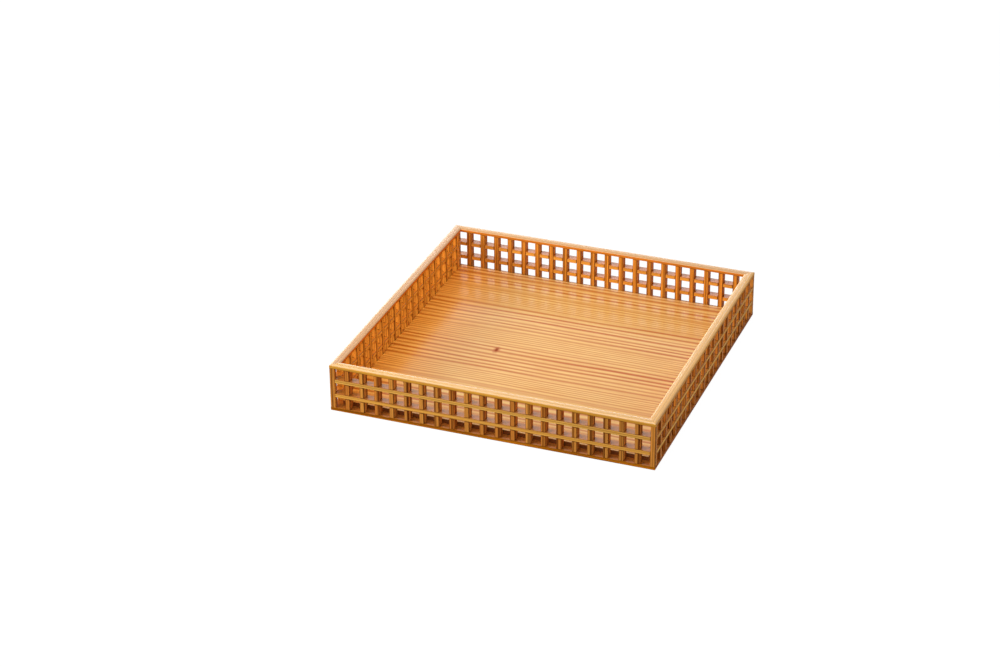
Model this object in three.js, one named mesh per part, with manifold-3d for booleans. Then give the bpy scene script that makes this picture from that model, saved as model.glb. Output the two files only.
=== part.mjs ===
// Square serving tray in cedar with see-through lattice walls.
// A thin floor board lies on a mitred base frame. Each wall is a half-lapped lattice of thin
// sticks between two corner posts, tenoned into the base frame and into a mitred top rim.
// Millimetres, +Z up, origin on the table under the middle of the tray, front wall towards -Y.
import * as THREE from 'three';
import { mergeVertices } from 'three/addons/utils/BufferGeometryUtils.js';
import Module from 'manifold-3d';

// Overall sizes
const trayWidth = 300;
const trayDepth = 300;
const trayHeight = 45.4;

// Lattice walls
const cellsAcross = 21;
const cellsDeep = 21;
const wallThickness = 8;
const barWidth = 4.4;
const postSize = 4.5;
const midRailHeight = 3.7;
const midRailCount = 2;

// Stub tenons on both ends of every bar and post
const tenonLength = 1.5;
const tenonShoulder = 0.8;
const barTenonDepth = 4;

// Frames under and over the lattice
const baseRailHeight = 3.2;
const baseRailWidth = 17;
const topRailHeight = 3.2;
const topRailWidth = 8;
const rimFlat = 2;
const rimCrown = 0.9;
const baseRound = 0.5;

// Floor
const floorThickness = 4;
const floorRound = 0.5;

// Clearances that a joiner leaves
const lapClearance = 0.1;
const tenonClearance = 0.1;
const mitreGap = 0.1;
const floorGap = 0.4;

const roundSteps = 4;

const latticeBottom = baseRailHeight;
const latticeTop = trayHeight - topRailHeight;
const latticeHeight = latticeTop - latticeBottom;
const cellHeight = (latticeHeight - midRailCount * midRailHeight) / (midRailCount + 1);
const lapDepth = wallThickness / 2;

const rimWood = new THREE.MeshStandardMaterial({ color: 0xdcab72, roughness: 0.42, metalness: 0 });
const baseWood = new THREE.MeshStandardMaterial({ color: 0xbb8744, roughness: 0.5, metalness: 0 });
const railWood = new THREE.MeshStandardMaterial({ color: 0xc69343, roughness: 0.45, metalness: 0 });
const barWood = new THREE.MeshStandardMaterial({ color: 0xb37a3c, roughness: 0.5, metalness: 0 });
const floorWood = new THREE.MeshStandardMaterial({ color: 0xe6b072, roughness: 0.4, metalness: 0 });

const wasm = await Module();
wasm.setup();

// Solids for cutting and joining

function solidOf(geometry) {
  geometry.deleteAttribute('normal');
  geometry.deleteAttribute('uv');
  const merged = mergeVertices(geometry, 1e-5);
  return new wasm.Manifold(new wasm.Mesh({
    numProp: 3,
    vertProperties: merged.getAttribute('position').array,
    triVerts: new Uint32Array(merged.getIndex().array),
  }));
}

function pieceOf(name, solid, material) {
  const cut = solid.getMesh();
  const geometry = new THREE.BufferGeometry();
  geometry.setAttribute('position', new THREE.BufferAttribute(cut.vertProperties, 3));
  geometry.setIndex(new THREE.BufferAttribute(cut.triVerts, 1));
  const piece = new THREE.Mesh(geometry, material);
  piece.name = name;
  return piece;
}

function block(x0, x1, y0, y1, z0, z1) {
  const box = new THREE.BoxGeometry(x1 - x0, y1 - y0, z1 - z0);
  box.translate((x0 + x1) / 2, (y0 + y1) / 2, (z0 + z1) / 2);
  return solidOf(box);
}

// A flat outline in plan, raised from z0 to z1
function raisedPlan(points, z0, z1) {
  const plan = new THREE.Shape(points.map(([x, y]) => new THREE.Vector2(x, y)));
  const prism = new THREE.ExtrudeGeometry(plan, { depth: z1 - z0, bevelEnabled: false });
  prism.translate(0, 0, z0);
  return solidOf(prism);
}

// A rectangle whose corners are rounded, counted from the one at the low end of both sides
function softSection(u0, u1, v0, v1, radii) {
  const section = new THREE.Shape();
  const [lowLow, highLow, highHigh, lowHigh] = radii;
  section.moveTo(u0 + lowLow, v0);
  section.lineTo(u1 - highLow, v0);
  if (highLow > 0) section.absarc(u1 - highLow, v0 + highLow, highLow, -Math.PI / 2, 0, false);
  section.lineTo(u1, v1 - highHigh);
  if (highHigh > 0) section.absarc(u1 - highHigh, v1 - highHigh, highHigh, 0, Math.PI / 2, false);
  section.lineTo(u0 + lowHigh, v1);
  if (lowHigh > 0) section.absarc(u0 + lowHigh, v1 - lowHigh, lowHigh, Math.PI / 2, Math.PI, false);
  section.lineTo(u0, v0 + lowLow);
  if (lowLow > 0) section.absarc(u0 + lowLow, v0 + lowLow, lowLow, Math.PI, 1.5 * Math.PI, false);
  return section;
}

// A rail's section whose top has a flat strip along the middle and falls away softly to both sides
function crownedSection(width, v0, v1, flat, crown) {
  const fall = (width - flat) / 2;
  const section = new THREE.Shape();
  section.moveTo(0, v0);
  section.lineTo(width, v0);
  section.lineTo(width, v1 - crown);
  section.absellipse(width - fall, v1 - crown, fall, crown, 0, Math.PI / 2, false, 0);
  section.lineTo(fall, v1);
  section.absellipse(fall, v1 - crown, fall, crown, Math.PI / 2, Math.PI, false, 0);
  section.lineTo(0, v0);
  return section;
}

// A stick along X whose section is drawn in Y and Z
function stickAlongX(section, length) {
  const stick = new THREE.ExtrudeGeometry(section, {
    depth: length, bevelEnabled: false, curveSegments: roundSteps,
  });
  stick.translate(0, 0, -length / 2);
  stick.rotateY(Math.PI / 2);
  stick.rotateX(Math.PI / 2);
  return solidOf(stick);
}

// A stick along Z whose section is drawn in X and Y
function stickAlongZ(section, z0, z1) {
  const stick = new THREE.ExtrudeGeometry(section, {
    depth: z1 - z0, bevelEnabled: false, curveSegments: roundSteps,
  });
  stick.translate(0, 0, z0);
  return solidOf(stick);
}

// Pieces of one wall, drawn in the wall's own frame:
// X runs along the wall, its outer face is at y = 0 and the inside of the tray is towards +Y

function cellPitch(length, cells) {
  return (length - postSize) / cells;
}

function barCentres(length, cells) {
  const pitch = cellPitch(length, cells);
  return Array.from({ length: cells - 1 }, (_, k) => (k + 1) * pitch - cells * pitch / 2);
}

function midRailBottoms() {
  return Array.from({ length: midRailCount }, (_, row) =>
    latticeBottom + cellHeight * (row + 1) + midRailHeight * row);
}

// Both ends are cut at 45 degrees, so that four such rails close at the corners
function mitred(stick, length, width, z0, z1) {
  const outerEnd = length / 2 - mitreGap / 2;
  const innerEnd = outerEnd - width;
  const keep = raisedPlan(
    [[-outerEnd, 0], [outerEnd, 0], [innerEnd, width], [-innerEnd, width]], z0, z1);
  return stick.intersect(keep);
}

// Where the tenons of one wall's bars and of its two corner posts stand, as [x0, x1, y0, y1]
function tenonPlaces(length, cells) {
  const barHalf = barWidth / 2 - tenonShoulder;
  const bars = barCentres(length, cells).map((x) => [x - barHalf, x + barHalf,
    (wallThickness - barTenonDepth) / 2, (wallThickness + barTenonDepth) / 2]);
  const posts = [-1, 1].map((side) => {
    const centre = side * (length - postSize) / 2;
    const half = postSize / 2 - tenonShoulder;
    return [centre - half, centre + half, tenonShoulder, postSize - tenonShoulder];
  });
  return [...bars, ...posts];
}

function mortised(rail, length, cells, z0, z1) {
  const gap = tenonClearance;
  return tenonPlaces(length, cells).reduce((cut, [x0, x1, y0, y1]) =>
    cut.subtract(block(x0 - gap, x1 + gap, y0 - gap, y1 + gap, z0, z1)), rail);
}

function topRail(length, cells) {
  const section = crownedSection(topRailWidth, latticeTop, trayHeight, rimFlat, rimCrown);
  const rail = mitred(stickAlongX(section, length), length, topRailWidth, latticeTop, trayHeight);
  return mortised(rail, length, cells, latticeTop - 1, latticeTop + tenonLength + tenonClearance);
}

function baseRail(length, cells) {
  const section = softSection(0, baseRailWidth, 0, baseRailHeight, [baseRound, 0, 0, 0]);
  const rail = mitred(stickAlongX(section, length), length, baseRailWidth, 0, baseRailHeight);
  return mortised(rail, length, cells, latticeBottom - tenonLength - tenonClearance, latticeBottom + 1);
}

// The middle rails meet at 45 degrees behind the corner post, which is let into their ends
function plainMidRail(length, bottom) {
  const top = bottom + midRailHeight;
  const reach = length / 2 - postSize - lapClearance;
  const post = postSize + lapClearance;
  let rail = mitred(block(-length / 2, length / 2, 0, wallThickness, bottom, top),
    length, wallThickness, bottom, top);
  for (const side of [-1, 1]) {
    const from = Math.min(side * reach, side * length / 2);
    const to = Math.max(side * reach, side * length / 2);
    rail = rail.subtract(block(from, to, -1, post, bottom - 1, top + 1));
  }
  return rail;
}

// Half of the rail's depth is cut away at its inner face wherever a bar crosses it
function notchedMidRail(length, cells, bottom) {
  let rail = plainMidRail(length, bottom);
  const halfNotch = barWidth / 2 + lapClearance;
  for (const x of barCentres(length, cells)) {
    rail = rail.subtract(block(x - halfNotch, x + halfNotch,
      lapDepth - lapClearance / 2, wallThickness + 1, bottom - 1, bottom + midRailHeight + 1));
  }
  return rail;
}

// A tenon runs through the whole stick and stands out at both of its ends
function tenoned(stick, [x0, x1, y0, y1]) {
  return stick.add(block(x0, x1, y0, y1, latticeBottom - tenonLength, latticeTop + tenonLength));
}

function plainBar(x) {
  return block(x - barWidth / 2, x + barWidth / 2, 0, wallThickness, latticeBottom, latticeTop);
}

function tenonedBars(length, cells) {
  const places = tenonPlaces(length, cells);
  return barCentres(length, cells).map((x, k) => tenoned(plainBar(x), places[k]));
}

// Half of the bar's depth is cut away at its outer face wherever a middle rail crosses it
function notched(bar, x) {
  return midRailBottoms().reduce((cut, bottom) =>
    cut.subtract(block(x - barWidth, x + barWidth, -1, lapDepth + lapClearance / 2,
      bottom - lapClearance, bottom + midRailHeight + lapClearance)), bar);
}

// The post stands at the left end of each wall, with its outer arris eased
function cornerPost(length, cells) {
  const start = -length / 2;
  const section = softSection(start, start + postSize, 0, postSize, [baseRound, 0, 0, 0]);
  const leftPostPlace = tenonPlaces(length, cells).at(-2);
  return tenoned(stickAlongZ(section, latticeBottom, latticeTop), leftPostPlace);
}

// Names of the middle rails from the bottom up
function rowName(row) {
  return midRailCount === 2 ? ['lower', 'upper'][row] : `row_${row + 1}`;
}

function looseLattice(side, length, cells) {
  const wall = new THREE.Group();
  midRailBottoms().forEach((bottom, row) => {
    const rail = notchedMidRail(length, cells, bottom);
    wall.add(pieceOf(`${side}_mid_rail_${rowName(row)}`, rail, railWood));
  });
  const bars = tenonedBars(length, cells);
  barCentres(length, cells).forEach((x, k) => {
    const number = String(k + 1).padStart(2, '0');
    wall.add(pieceOf(`${side}_bar_${number}`, notched(bars[k], x), barWood));
  });
  return wall;
}

// The side walls' sticks are joined at their laps, to keep the number of pieces in hand
function joinedLattice(side, length, cells) {
  const rails = midRailBottoms().map((bottom) => plainMidRail(length, bottom));
  const lattice = [...rails, ...tenonedBars(length, cells)].reduce((whole, stick) => whole.add(stick));
  const wall = new THREE.Group();
  wall.add(pieceOf(`${side}_lattice`, lattice, barWood));
  return wall;
}

function wallWithFrames(side, length, cells, postName, lattice) {
  const wall = new THREE.Group();
  wall.add(pieceOf(`${side}_base_rail`, baseRail(length, cells), baseWood));
  wall.add(pieceOf(`${side}_top_rail`, topRail(length, cells), rimWood));
  wall.add(pieceOf(postName, cornerPost(length, cells), barWood));
  wall.add(lattice);
  return wall;
}

// The board drops in between the walls and rests on the inner ledge of the base frame
function floorBoard() {
  const halfWidth = trayWidth / 2 - wallThickness - floorGap;
  const halfDepth = trayDepth / 2 - wallThickness - floorGap;
  const top = baseRailHeight + floorThickness;
  const section = softSection(-halfDepth, halfDepth, baseRailHeight, top,
    [0, 0, floorRound, floorRound]);
  return pieceOf('floor_board', stickAlongX(section, 2 * halfWidth), floorWood);
}

const tray = new THREE.Group();

const front = wallWithFrames('front', trayWidth, cellsAcross, 'corner_post_front_left',
  looseLattice('front', trayWidth, cellsAcross));
front.position.set(0, -trayDepth / 2, 0);

const right = wallWithFrames('right', trayDepth, cellsDeep, 'corner_post_front_right',
  joinedLattice('right', trayDepth, cellsDeep));
right.position.set(trayWidth / 2, 0, 0);
right.rotation.z = Math.PI / 2;

const back = wallWithFrames('back', trayWidth, cellsAcross, 'corner_post_back_right',
  looseLattice('back', trayWidth, cellsAcross));
back.position.set(0, trayDepth / 2, 0);
back.rotation.z = Math.PI;

const left = wallWithFrames('left', trayDepth, cellsDeep, 'corner_post_back_left',
  joinedLattice('left', trayDepth, cellsDeep));
left.position.set(-trayWidth / 2, 0, 0);
left.rotation.z = -Math.PI / 2;

tray.add(floorBoard(), front, right, back, left);

export default tray;
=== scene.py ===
"""Looks for the square cedar tray: every stick and the floor board as eased, grained wood."""

import itertools
import math

import bmesh
import bpy
from mathutils import Matrix, Vector


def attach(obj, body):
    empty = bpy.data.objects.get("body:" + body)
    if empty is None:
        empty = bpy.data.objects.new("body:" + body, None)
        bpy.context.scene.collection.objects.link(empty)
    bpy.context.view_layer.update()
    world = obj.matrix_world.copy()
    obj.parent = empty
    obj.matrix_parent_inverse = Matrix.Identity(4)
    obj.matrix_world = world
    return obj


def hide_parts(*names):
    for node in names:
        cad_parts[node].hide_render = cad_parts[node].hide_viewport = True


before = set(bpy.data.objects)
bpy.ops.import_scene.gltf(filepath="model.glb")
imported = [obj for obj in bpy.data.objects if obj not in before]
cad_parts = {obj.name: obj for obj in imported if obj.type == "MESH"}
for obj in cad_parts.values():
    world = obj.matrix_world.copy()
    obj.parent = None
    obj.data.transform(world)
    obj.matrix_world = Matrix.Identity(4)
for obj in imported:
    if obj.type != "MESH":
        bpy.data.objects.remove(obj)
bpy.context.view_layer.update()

MM = 0.001

# Viewpoint: turned right of square on, looking down, a little to the left and raised, slightly tilted
CAMERA_TURN = math.radians(21.16)
CAMERA_LIFT = math.radians(28.27)
CAMERA_ROLL = math.radians(0.57)
CAMERA_DISTANCE = 2.343
CAMERA_SIDESTEP = 0.0444
CAMERA_RAISE = 0.0249
CAMERA_LENS = 92.48
SENSOR_WIDTH = 36


# Colours and shader maths

def colour(red, green, blue):
    """A colour given as it looks on screen, from 0 to 255, as the linear value that a shader takes."""
    def linear(level):
        level /= 255
        return level / 12.92 if level <= 0.04045 else ((level + 0.055) / 1.055) ** 2.4
    return (linear(red), linear(green), linear(blue), 1.0)


class Socket:
    """One output of a node, so that shader maths reads as plain sums."""

    def __init__(self, tree, plug):
        self.tree = tree
        self.plug = plug

    def other(self, name):
        return Socket(self.tree, self.plug.node.outputs[name])

    def maths(self, operation, *others):
        return self.tree.add("Math", {"operation": operation}, dict(enumerate((self, *others))))

    def __add__(self, value):
        return self.maths("ADD", value)

    def __sub__(self, value):
        return self.maths("SUBTRACT", value)

    def __rsub__(self, value):
        return self.tree.add("Math", {"operation": "SUBTRACT"}, {0: value, 1: self})

    def __mul__(self, value):
        return self.maths("MULTIPLY", value)

    def __truediv__(self, value):
        return self.maths("DIVIDE", value)

    def __pow__(self, value):
        return self.maths("POWER", value)

    __radd__ = __add__
    __rmul__ = __mul__


class Tree:
    """The nodes of one material or of the world."""

    def __init__(self, owner):
        owner.use_nodes = True
        self.nodes = owner.node_tree.nodes
        self.links = owner.node_tree.links
        self.nodes.clear()

    def add(self, kind, settings=None, sockets=None, output=0):
        """A node of any kind: its settings come first, then the values or links of its sockets."""
        node = self.nodes.new("ShaderNode" + kind)
        for name, value in (settings or {}).items():
            setattr(node, name, value)
        for name, value in (sockets or {}).items():
            if isinstance(value, Socket):
                self.links.new(value.plug, node.inputs[name])
            else:
                node.inputs[name].default_value = value
        return Socket(self, node.outputs[output]) if node.outputs else None

    def millimetres(self):
        """Object coordinates in millimetres, along X, Y and Z."""
        place = self.add("TexCoord", output="Object")
        split = self.add("SeparateXYZ", {}, {0: place})
        return [split.other(axis) / MM for axis in "XYZ"]

    def noise(self, x, y, z, detail=2.0):
        place = self.add("CombineXYZ", {}, {0: x, 1: y, 2: z})
        return self.add("TexNoise", {}, {"Vector": place, "Scale": 1.0, "Detail": detail,
                                         "Roughness": 0.5}, "Fac")

    def between(self, value, low, high, to_low=0.0, to_high=1.0):
        """The share of the way from low to high, held at both ends."""
        return self.add("MapRange", {"clamp": True}, {"Value": value, "From Min": low, "From Max": high,
                                                      "To Min": to_low, "To Max": to_high}, "Result")

    def wave(self, turns, levels, shape="SINE"):
        """A wave with one crest to a turn, as the share of the way between two of its levels."""
        return self.between((turns * math.tau).maths(shape), *levels)

    def blend(self, share, first, second):
        return self.add("Mix", {"data_type": "RGBA"}, {"Factor": share, 6: first, 7: second}, 2)

    def carried(self, name):
        """A value that the piece carries on its mesh."""
        return self.add("Attribute", {"attribute_name": name}, {}, "Fac")


# Woods

PORE_DEPTH = 0.05 * MM
PORE_STRENGTH = 0.25
WOOD_IOR = 1.45
STICK_ROUGHNESS = 0.42
BOARD_ROUGHNESS = 0.36
ROUGHER_GRAIN = 0.1

# The clear polish on bars and base rails, on middle rails and the rim, and on the board
STICK_POLISH = {"sheen": 0.02, "roughness": 0.15, "ior": 1.75}
RAIL_POLISH = {"sheen": 0.02, "roughness": 0.22, "ior": 1.9}
BOARD_POLISH = {"sheen": 0.05, "roughness": 0.19, "ior": 1.6}

# Levels of a noise between which its marks go from nothing to full
PATCH_LEVELS = (0.3, 0.7)
FINE_LEVELS = (0.35, 0.65)
STREAK_LEVELS = (0.36, 0.64)
FIBRE_LEVELS = (0.35, 0.7)


def finished(tree, base, grain, roughness, polish, coat):
    """Planed wood under a thin polish, with grain that can just be felt."""
    bump = tree.add("Bump", {}, {"Strength": PORE_STRENGTH, "Distance": PORE_DEPTH, "Height": grain})
    shader = tree.add("BsdfPrincipled", {}, {
        "Base Color": base, "IOR": WOOD_IOR, "Specular IOR Level": polish["sheen"],
        "Roughness": tree.between(grain, 0, 1, roughness, roughness + ROUGHER_GRAIN),
        "Coat Weight": coat, "Coat Roughness": polish["roughness"], "Coat IOR": polish["ior"],
        "Normal": bump})
    tree.add("OutputMaterial", {}, {"Surface": shader})


# A stick's growth lines: how they lean in its section, how far they wander, and how much is late wood
RING_LEAN = (0.76, 0.65)
STICK_WANDER = 1.6
LATE_LEVELS = (0.25, 1.0)

# How the pattern moves, and how often its boldness starts again, from the darkest stick to the palest
PATTERN_SHIFT = 37.0
BOLDNESS_TURNS = 7.0
LEAST_BOLD = 0.5

# How fine the noises of a stick are, along it and across it
DRIFT_SCALE = (0.012, 0.12)
STREAK_SCALE = (0.015, 1.1)
FIBRE_SCALE = (0.10, 4.5)

# Shares of painted bounce orange on a stick, of late wood that it hides, of fibres, and of its painted top
# colour
STICK_BOUNCE_SHARE = 0.85
BOUNCE_LATE_LOSS = 0.5
FIBRE_SHARE = 0.22
PAINTED_TOP_SHARE = 0.75

# How far late wood and fibres stand out, as shares of the full relief
LATE_RELIEF = 0.6
FIBRE_RELIEF = 0.4

# How far up a face looks where the painted top colour, and the lines on it, begin and are full
PAINTED_TOP_TILTS = (0.3, 0.9)
TOP_LINE_TILTS = (0.5, 0.9)


def stick_wood(name, along, look):
    """Straight-grained stick: lines and fibres along one axis, with its own colour, painted bounce light,
    painted light and shade on its top, painted shade along its arrises, and polish on top.
    """
    material = bpy.data.materials.new(name)
    tree = Tree(material)
    across = tree.millimetres()
    run = across.pop(along)
    u, v = across
    tone = tree.carried("tone")
    warmth = tree.carried("warmth")
    upward = tree.carried("upward")
    shift = tone * PATTERN_SHIFT
    bold = (tone * BOLDNESS_TURNS).maths("FRACT") * (1 - LEAST_BOLD) + LEAST_BOLD
    drift = tree.noise(run * DRIFT_SCALE[0], u * DRIFT_SCALE[1] + shift, v * DRIFT_SCALE[1], 1.0)
    ring = u * RING_LEAN[0] + v * RING_LEAN[1] + (drift - 0.5) * STICK_WANDER + shift
    late = tree.wave(ring / look["line"], LATE_LEVELS) * bold
    streaks = tree.between(
        tree.noise(run * STREAK_SCALE[0], u * STREAK_SCALE[1] + shift, v * STREAK_SCALE[1]), *STREAK_LEVELS)
    fibres = tree.between(
        tree.noise(run * FIBRE_SCALE[0], u * FIBRE_SCALE[1], v * FIBRE_SCALE[1] + shift), *FIBRE_LEVELS)
    body = tree.blend(tone, look["deep"], look["pale"])
    # Painted bounce light: faces lit by the orange board inside the tray are painted orange, and their late
    # wood fades
    body = tree.blend(warmth * STICK_BOUNCE_SHARE, body, look["orange"])
    late_share = late * (1 - warmth * BOUNCE_LATE_LOSS) * look["late"]
    for share in (streaks * look["streaks"], late_share, fibres * FIBRE_SHARE):
        body = tree.blend(share, body, look["dark"])
    # Painted light on tops: shaded tops of rails, bars and base rails are painted darker, the rim's crown
    # paler and greyer as a painted sheen
    top = tree.blend(warmth, look["top"], look["warm_top"])
    body = tree.blend(tree.between(upward, *PAINTED_TOP_TILTS, 0.0, PAINTED_TOP_SHARE), body, top)
    top_lines = late * tree.between(upward, *TOP_LINE_TILTS, 0.0, look["top_lines"])
    # Grain lines on tops, then painted shade: eased edge faces are darkened into thin dark lines along each
    # stick
    for share in (top_lines, tree.carried("arris") * look["arris"]):
        body = tree.blend(share, body, look["dark"])
    coat = tree.between(upward, look["coated_from"], 1.0, 0.0, look["coat"])
    relief = late * LATE_RELIEF + fibres * FIBRE_RELIEF
    finished(tree, body, relief, STICK_ROUGHNESS, look["polish"], coat)
    return material


# The board's growth lines in millimetres: their spacing, the wide bands in which they show strongly,
# and how far they wander
LINE_SPACING = 6.4
FAINT_SPACING = 3.9
BAND_SPACING = 77.0
BAND_MIDDLE = -24.0
BOARD_WANDER = 6.0
BOARD_UNEVENNESS = 7.0

# Levels of each wave between which it goes from pale to dark
STRONG_LEVELS = (-0.7, 0.9)
FAINT_LEVELS = (-0.5, 0.9)
BAND_LEVELS = (-0.75, -0.15)

# How fine each noise of the board is, along X and along Y
BOARD_SCALES = {"wander": (0.006, 0.02), "uneven": (0.0, 0.07), "weight": (0.004, 0.16),
                "fine": (0.004, 1.1), "fibres": (0.05, 0.9), "patches": (0.012, 0.03), "knot": (0.6, 0.6)}
FIBRE_DEPTH_SCALE = 0.9

# Shares of the warm colour in patches and fine streaks, of the lines and of the fibres
WARM_MIX = 0.5
FAINT_SHARE = 0.62
LIGHTEST_LINE = 0.55
BOARD_FIBRE_SHARE = 0.2

# Where along X the left end is painted orange, in millimetres, as painted bounce light in the left wall's
# shade, and how far up a face looks as the painted shade on the board's upright edges fades
BOUNCE_ORANGE_END = (-70, -140)
BOARD_BOUNCE_SHARE = 0.7
EDGE_SHADE_TILTS = (0.2, 0.9)
EDGE_SHADE_SHARE = 0.8
BOARD_COAT = 0.6

# A pin knot near the middle, with its half sizes, and how far its dark halo and red core reach
KNOT_PLACE = (-47.5, -9.0)
KNOT_SIZE = (1.6, 3.4)
KNOT_RAGGEDNESS = 1.2
HALO_REACH = (0.8, 2.4)
HALO_SHARE = 0.9
CORE_REACH = (0.5, 1.2)

BOARD_PALE = colour(238, 196, 120)
BOARD_WARM = colour(228, 176, 93)
BOARD_BOUNCE_ORANGE = colour(252, 158, 32)
BOARD_DARK = colour(182, 84, 3)
BOARD_EDGE_SHADE = colour(120, 52, 18)
KNOT_RED = colour(140, 56, 0)


def board_wood(name):
    """The floor board: straight growth lines along X, strong in wide bands and faint between them."""
    material = bpy.data.materials.new(name)
    tree = Tree(material)
    x, y, z = tree.millimetres()

    def mottle(kind, depth, detail=2.0):
        """One of the board's noises, whose depth keeps it apart from the others."""
        along, over = BOARD_SCALES[kind]
        return tree.noise(x * along, y * over, depth, detail)

    wander = (mottle("wander", 0.0, 1.0) - 0.5) * BOARD_WANDER
    uneven = (mottle("uneven", 3.0, 1.0) - 0.5) * BOARD_UNEVENNESS
    depth = y + wander + uneven
    late = tree.wave(depth / LINE_SPACING, STRONG_LEVELS)
    faint = tree.wave(depth / FAINT_SPACING, FAINT_LEVELS)
    strong = tree.wave((y + wander - BAND_MIDDLE) / BAND_SPACING, BAND_LEVELS, "COSINE")
    weight = tree.between(mottle("weight", 7.0, 1.0), *PATCH_LEVELS, LIGHTEST_LINE, 1.0)
    fine = tree.between(mottle("fine", z), *FINE_LEVELS)
    fibres = tree.between(mottle("fibres", z * FIBRE_DEPTH_SCALE, 3.0), *STREAK_LEVELS)
    patches = tree.between(mottle("patches", 0.0), *PATCH_LEVELS)
    body = tree.blend(patches * WARM_MIX + fine * WARM_MIX, BOARD_PALE, BOARD_WARM)
    # Painted bounce light: the left end, in the left wall's shade, is painted orange
    body = tree.blend(tree.between(x, *BOUNCE_ORANGE_END, 0.0, BOARD_BOUNCE_SHARE), body, BOARD_BOUNCE_ORANGE)
    lines = late * strong * weight + faint * (1 - strong) * FAINT_SHARE
    knot_x = (x - KNOT_PLACE[0]) / KNOT_SIZE[0]
    knot_y = (y - KNOT_PLACE[1]) / KNOT_SIZE[1]
    ragged = (mottle("knot", z) - 0.5) * KNOT_RAGGEDNESS
    reach = (knot_x * knot_x + knot_y * knot_y) ** 0.5 + ragged
    halo = tree.between(reach, *HALO_REACH, HALO_SHARE, 0.0)
    for share in (lines, fibres * BOARD_FIBRE_SHARE, halo):
        body = tree.blend(share, body, BOARD_DARK)
    knot = tree.between(reach, *CORE_REACH, 1.0, 0.0)
    body = tree.blend(knot, body, KNOT_RED)
    # Painted shade: the board's upright edges, shaded behind the walls, are painted dark brown
    edge = tree.between(tree.carried("upward"), *EDGE_SHADE_TILTS, EDGE_SHADE_SHARE, 0.0)
    body = tree.blend(edge, body, BOARD_EDGE_SHADE)
    finished(tree, body, lines, BOARD_ROUGHNESS, BOARD_POLISH, (1 - knot) * BOARD_COAT)
    return material


# The walls, each turned from the place of the front one
ACROSS, INTO, UP = 0, 1, 2
DIRECTIONS = (ACROSS, INTO)
WALL_TURNS = {"front": 0.0, "right": math.pi / 2, "back": math.pi, "left": -math.pi / 2}
CORNERS = ("front_left", "front_right", "back_right", "back_left")

# How orange each wall's wood is painted, as painted bounce light from the board inside the tray, how much
# of that its outside loses, and the tone of its palest stick, where 0 is the deep colour and 1 the pale one
WALL_PAINTED_BOUNCE = {"front": 0.0, "right": 0.1, "back": 0.75, "left": 1.0}
OUTSIDE_BOUNCE_LOSS = 0.8
# Painted shade: the right wall, on the side away from the key lamp, keeps its sticks near the deep colour
WALL_PALENESS_AND_SHADE = {"front": 1.0, "right": 0.3, "back": 1.0, "left": 1.0}
POST_TONE = 0.6
BOARD_TONE = 0.5

# Each kind of stick: its colours, with painted bounce orange and a painted top colour, the spacing of its
# lines in millimetres, the shares of its dark marks, with painted shade along its arrises, and its polish
# and how far up a face looks before it shines
RAIL_LOOK = {"pale": colour(255, 210, 108), "deep": colour(255, 187, 82), "orange": colour(252, 162, 50),
             "dark": colour(140, 66, 8), "top": colour(184, 110, 40), "warm_top": colour(214, 120, 30),
             "line": 2.3, "late": 0.5, "top_lines": 0.15, "streaks": 0.35, "arris": 0.8,
             "polish": RAIL_POLISH, "coated_from": 0.8, "coat": 0.95}
BAR_LOOK = {"pale": colour(250, 170, 74), "deep": colour(232, 142, 56), "orange": colour(255, 164, 54),
            "dark": colour(84, 26, 0), "top": colour(190, 118, 50), "warm_top": colour(196, 110, 34),
            "line": 4.2, "late": 1.0, "top_lines": 0.15, "streaks": 0.5, "arris": 0.8,
            "polish": STICK_POLISH, "coated_from": 0.8, "coat": 0.4}
RIM_LOOK = {"pale": colour(250, 184, 70), "deep": colour(232, 160, 56), "orange": colour(226, 108, 10),
            "dark": colour(116, 54, 8), "top": colour(222, 168, 80), "warm_top": colour(196, 154, 96),
            "line": 2.2, "late": 0.8, "top_lines": 0.4, "streaks": 0.35, "arris": 0.0,
            "polish": RAIL_POLISH, "coated_from": 0.1, "coat": 0.95}
BASE_LOOK = {"pale": colour(250, 156, 28), "deep": colour(188, 96, 10), "orange": colour(206, 102, 14),
             "dark": colour(84, 32, 4), "top": colour(186, 116, 50), "warm_top": colour(186, 106, 40),
             "line": 2.4, "late": 0.75, "top_lines": 0.15, "streaks": 0.6, "arris": 0.5,
             "polish": STICK_POLISH, "coated_from": 0.8, "coat": 0.4}

rail_wood = [stick_wood(f"rail_wood_{axis}", axis, RAIL_LOOK) for axis in DIRECTIONS]
rim_wood = [stick_wood(f"rim_wood_{axis}", axis, RIM_LOOK) for axis in DIRECTIONS]
base_wood = [stick_wood(f"base_wood_{axis}", axis, BASE_LOOK) for axis in DIRECTIONS]
bar_wood = stick_wood("bar_wood", UP, BAR_LOOK)
floor_wood = board_wood("floor_wood")
FRAME_RAILS = (("top_rail", rim_wood, "rim_wood"), ("base_rail", base_wood, "base_wood"))


# Pieces

# How wide the eased arrises are, and which edges are eased: longer than this, and turning by more
ARRIS_EASE = 0.35 * MM
BOARD_EASE = 0.25 * MM
SHORTEST_ARRIS = 1.2 * MM
SHARP_OVER = math.radians(40)

# Points closer than this are joined, and faces that turn by less than this become one
WELD = 0.002 * MM
FLAT_WITHIN = math.radians(1.0)

# A face is shaded smooth where the upright part of its normal is between these
ROUND_TILTS = (0.02, 0.9999)

# A face counts as an eased edge, painted darker as painted shade, where its normal has no part along X, Y
# or Z as large as this
ARRIS_TILT = 0.97

# A repeatable scatter of numbers from the digits of a sine
SCATTER_STEP = 12.9898
SCATTER_START = 4.1414
SCATTER_SPREAD = 43758.5453


def made_object(name, skin):
    mesh = bpy.data.meshes.new(name)
    skin.to_mesh(mesh)
    skin.free()
    made = bpy.data.objects.new(name, mesh)
    bpy.context.scene.collection.objects.link(made)
    return made


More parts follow.
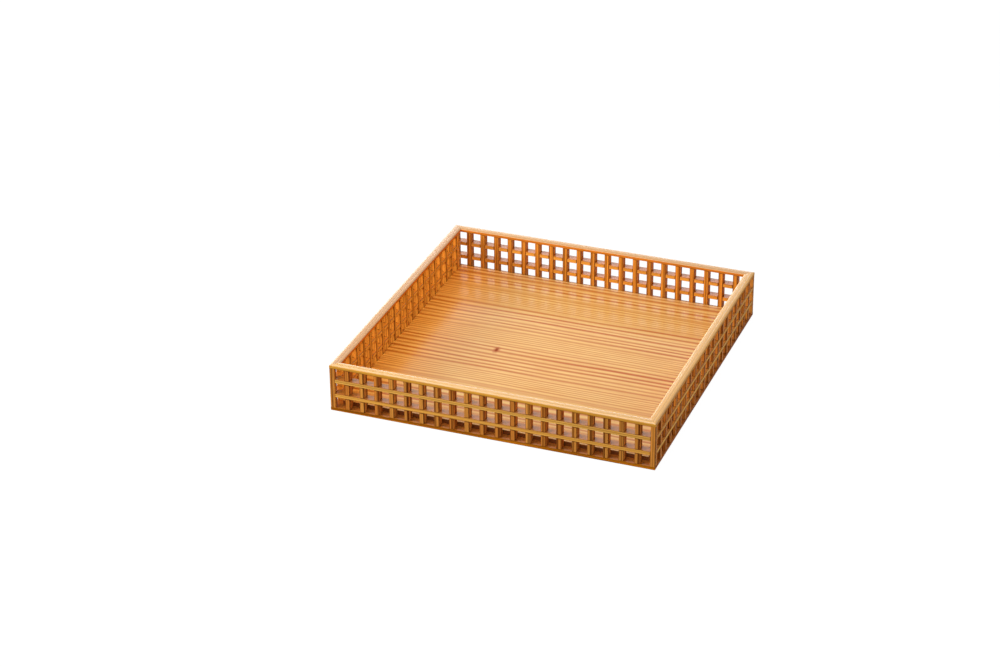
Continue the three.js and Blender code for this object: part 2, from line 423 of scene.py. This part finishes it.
def eased_copy(name, node, ease, turn=0.0):
    """The CAD piece as one skin with its arrises eased, turned about the middle of the tray."""
    skin = bmesh.new()
    skin.from_mesh(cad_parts[node].data)
    bmesh.ops.remove_doubles(skin, verts=skin.verts, dist=WELD)
    bmesh.ops.dissolve_limit(skin, angle_limit=FLAT_WITHIN, verts=skin.verts, edges=skin.edges)
    arrises = [edge for edge in skin.edges
               if edge.calc_length() > SHORTEST_ARRIS and edge.calc_face_angle(0) > SHARP_OVER]
    bmesh.ops.bevel(skin, geom=arrises, offset=ease, offset_type="OFFSET", segments=2, profile=0.5,
                    affect="EDGES", material=-1, clamp_overlap=True)
    for face in skin.faces:
        face.smooth = ROUND_TILTS[0] < abs(face.normal.z) < ROUND_TILTS[1]
    bmesh.ops.rotate(skin, verts=skin.verts, cent=(0, 0, 0), matrix=Matrix.Rotation(turn, 3, "Z"))
    return made_object(name, skin)


def carry(piece, name, domain, values):
    piece.data.attributes.new(name, "FLOAT", domain).data.foreach_set("value", values)


def mark(piece, tone, side):
    """A piece carries its tone, and each face its painted bounce light, how far up it looks and if it is an
    eased edge, which gets painted shade.
    """
    outward = Matrix.Rotation(WALL_TURNS[side], 3, "Z") @ Vector((0, -1, 0))
    normals = [face.normal.copy() for face in piece.data.polygons]
    bounce_losses = [OUTSIDE_BOUNCE_LOSS * max(0.0, normal.dot(outward)) for normal in normals]
    carry(piece, "tone", "POINT", [tone] * len(piece.data.vertices))
    carry(piece, "warmth", "FACE", [WALL_PAINTED_BOUNCE[side] * (1 - bounce_loss) for bounce_loss in bounce_losses])
    carry(piece, "upward", "FACE", [max(0.0, normal.z) for normal in normals])
    carry(piece, "arris", "FACE", [float(max(map(abs, normal)) < ARRIS_TILT) for normal in normals])


def settle(piece, node, material, tone, side="front"):
    piece.data.materials.clear()
    piece.data.materials.append(material)
    mark(piece, tone, side)
    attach(piece, "root")
    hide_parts(node)


def scattered_tones():
    """Repeatable numbers from 0 to 1, one for each stick."""
    for number in itertools.count():
        yield (math.sin(number * SCATTER_STEP + SCATTER_START) * SCATTER_SPREAD) % 1.0


def front_sticks():
    return sorted(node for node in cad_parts
                  if node.startswith("front_") and ("_bar_" in node or "_mid_rail_" in node))


def dress_lattice(side, wood, tones):
    """A side wall is one CAD node, so its sticks are the front wall's own, turned into place."""
    joined = f"{side}_lattice"
    for front_node in front_sticks():
        name = side + front_node.removeprefix("front")
        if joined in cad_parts:
            node = joined
            piece = eased_copy(f"{name}_wood", front_node, ARRIS_EASE, WALL_TURNS[side])
        else:
            node = name
            piece = eased_copy(f"{name}_wood", name, ARRIS_EASE)
        slot, material = ("bar_wood", bar_wood) if "_bar_" in name else ("rail_wood", wood)
        settle(piece, node, material, next(tones) * WALL_PALENESS_AND_SHADE[side], side)


def dress_walls():
    tones = scattered_tones()
    for side in WALL_TURNS:
        axis = ACROSS if side in ("front", "back") else INTO
        dress_lattice(side, rail_wood[axis], tones)
        for part, woods, slot in FRAME_RAILS:
            node = f"{side}_{part}"
            piece = eased_copy(f"{node}_wood", node, ARRIS_EASE)
            settle(piece, node, woods[axis], next(tones) * WALL_PALENESS_AND_SHADE[side], side)
    for corner in CORNERS:
        node = f"corner_post_{corner}"
        piece = eased_copy(f"{node}_wood", node, ARRIS_EASE)
        settle(piece, node, bar_wood, POST_TONE)


def lay_floor_board():
    piece = eased_copy("floor_board_wood", "floor_board", BOARD_EASE)
    settle(piece, "floor_board", floor_wood, BOARD_TONE)


# Surroundings

# Each lamp's place and size in metres, and its power in watts
LAMPS = {
    "key": ((-1.55, -1.05, 0.58), (0.8, 0.6), 31.5),
    "overhead": ((-0.13, 0.0, 0.6), (0.6, 0.6), 2.35),
    "far_glow": ((-1.0, 2.1, 0.5), (3.2, 0.36), 12.5),
    "back_shine": ((-0.68, 2.1, 0.99), (1.0, 0.12), 0.9),
    "left_glow": ((-2.1, 0.7, 0.55), (2.6, 1.0), 20),
    "right_glow": ((2.2, -0.6, 0.6), (1.6, 1.0), 14),
}

# How bright the surroundings are as light, and as they are seen
SKY_LIGHT = 0.5
SEEN_WHITE = 1.0
TABLE_GREY = 0.14
TABLE_HALF_SIZE = 6.0

# How much of the table's white a shadow can take away, and how brightly the open table is lit
SHADOW_SHARE = 0.08
OPEN_LIGHT = 0.4

# The rays to which the surroundings look white
SEEING_RAYS = ("Is Camera Ray", "Is Glossy Ray", "Is Transmission Ray")


def place_camera():
    back = Vector((math.sin(CAMERA_TURN) * math.cos(CAMERA_LIFT),
                   -math.cos(CAMERA_TURN) * math.cos(CAMERA_LIFT), math.sin(CAMERA_LIFT)))
    level = Vector((math.cos(CAMERA_TURN), math.sin(CAMERA_TURN), 0))
    raised = back.cross(level)
    right = level * math.cos(CAMERA_ROLL) - raised * math.sin(CAMERA_ROLL)
    up = level * math.sin(CAMERA_ROLL) + raised * math.cos(CAMERA_ROLL)
    lens = bpy.data.cameras.new("camera")
    lens.lens = CAMERA_LENS
    lens.sensor_width = SENSOR_WIDTH
    camera = bpy.data.objects.new("camera", lens)
    place = Matrix((right, up, back)).transposed().to_4x4()
    place.translation = back * CAMERA_DISTANCE - right * CAMERA_SIDESTEP + up * CAMERA_RAISE
    camera.matrix_world = place
    bpy.context.scene.collection.objects.link(camera)
    bpy.context.scene.camera = camera


def soft_lamp(name, place, size, power):
    light = bpy.data.lights.new(name, "AREA")
    light.shape = "RECTANGLE"
    light.size, light.size_y = size
    light.energy = power
    lamp = bpy.data.objects.new(name, light)
    lamp.location = place
    lamp.rotation_euler = (-Vector(place)).to_track_quat("-Z", "Y").to_euler()
    bpy.context.scene.collection.objects.link(lamp)


def grey(level):
    return (level, level, level, 1)


def seen_directly(tree):
    """One where a ray is of one of the seeing kinds."""
    first, *others = SEEING_RAYS
    path = tree.add("LightPath", output=first)
    seen = path
    for ray in others:
        seen = seen.maths("MAXIMUM", path.other(ray))
    return seen


def white_world():
    world = bpy.data.worlds.new("world")
    bpy.context.scene.world = world
    tree = Tree(world)
    seen = seen_directly(tree)
    glow = tree.add("Background", {}, {"Strength": tree.between(seen, 0, 1, SKY_LIGHT, SEEN_WHITE)})
    tree.add("OutputWorld", {}, {"Surface": glow})


def pale_table():
    """A table top that looks white and keeps a faint shadow."""
    material = bpy.data.materials.new("table_white")
    tree = Tree(material)
    matt = tree.add("BsdfDiffuse", {}, {"Color": grey(TABLE_GREY)})
    shaded = tree.add("BsdfDiffuse", {}, {"Color": grey(SHADOW_SHARE)})
    glow = tree.add("Emission", {}, {"Strength": 1.0 - SHADOW_SHARE * OPEN_LIGHT})
    white = tree.add("AddShader", {}, {0: shaded, 1: glow})
    seen = seen_directly(tree)
    tree.add("OutputMaterial", {}, {"Surface": tree.add("MixShader", {}, {0: seen, 1: matt, 2: white})})
    skin = bmesh.new()
    bmesh.ops.create_grid(skin, x_segments=1, y_segments=1, size=TABLE_HALF_SIZE)
    table = made_object("table_top", skin)
    table.data.materials.append(material)


place_camera()
dress_walls()
lay_floor_board()
white_world()
pale_table()
for lamp_name, lamp_settings in LAMPS.items():
    soft_lamp(lamp_name, *lamp_settings)

bpy.context.scene.view_settings.view_transform = "Standard"
